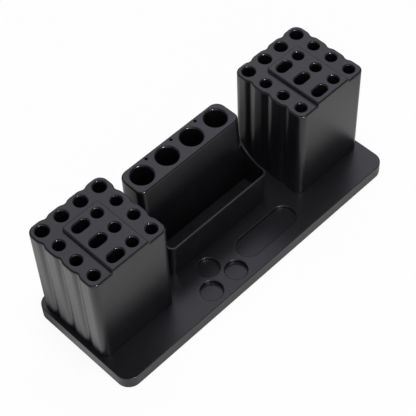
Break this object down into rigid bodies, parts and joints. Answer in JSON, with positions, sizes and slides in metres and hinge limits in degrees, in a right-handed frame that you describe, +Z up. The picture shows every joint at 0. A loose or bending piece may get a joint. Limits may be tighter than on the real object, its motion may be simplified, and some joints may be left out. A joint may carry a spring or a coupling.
{
  "type": "desktop tool rack",
  "caption": "Black desk rack for small hand tools: fluted drilled towers beside a bored caddy with a front tray, on a low plate with parts wells.",
  "frame": {"origin": "on the desk, under the middle of the base plate", "axes": "+X along the rack's length to the right as seen from the tray side, +Y to the back, +Z up"},
  "size_m": [0.2944, 0.105, 0.1093],
  "materials": {
    "black_abs": "finely textured black moulded plastic",
    "foot_plate_abs": "plain black moulded plastic",
    "rubber": "dull rubber",
    "steel": "plated steel"
  },
  "bodies": {
    "base": {"base_plate": "black_abs", "foot_front_left": "rubber", "foot_front_right": "rubber", "foot_rear_left": "rubber", "foot_rear_right": "rubber"},
    "left_tower": {"left_tower_body": "black_abs", "left_tower_foot_plate": "foot_plate_abs", "left_tower_screws": "steel"},
    "right_tower": {"right_tower_body": "black_abs", "right_tower_foot_plate": "foot_plate_abs", "right_tower_screws": "steel"},
    "caddy": {"caddy_body": "black_abs", "caddy_foot_plate": "foot_plate_abs", "caddy_screws": "steel"}
  },
  "joints": [
    {"name": "left_tower_lift", "type": "slide", "parent": "base", "child": "left_tower", "axis": [0, 0, 1], "range_m": [0, 0.11]},
    {"name": "right_tower_lift", "type": "slide", "parent": "base", "child": "right_tower", "axis": [0, 0, 1], "range_m": [0, 0.11]},
    {"name": "caddy_lift", "type": "slide", "parent": "base", "child": "caddy", "axis": [0, 0, 1], "range_m": [0, 0.11]}
  ]
}
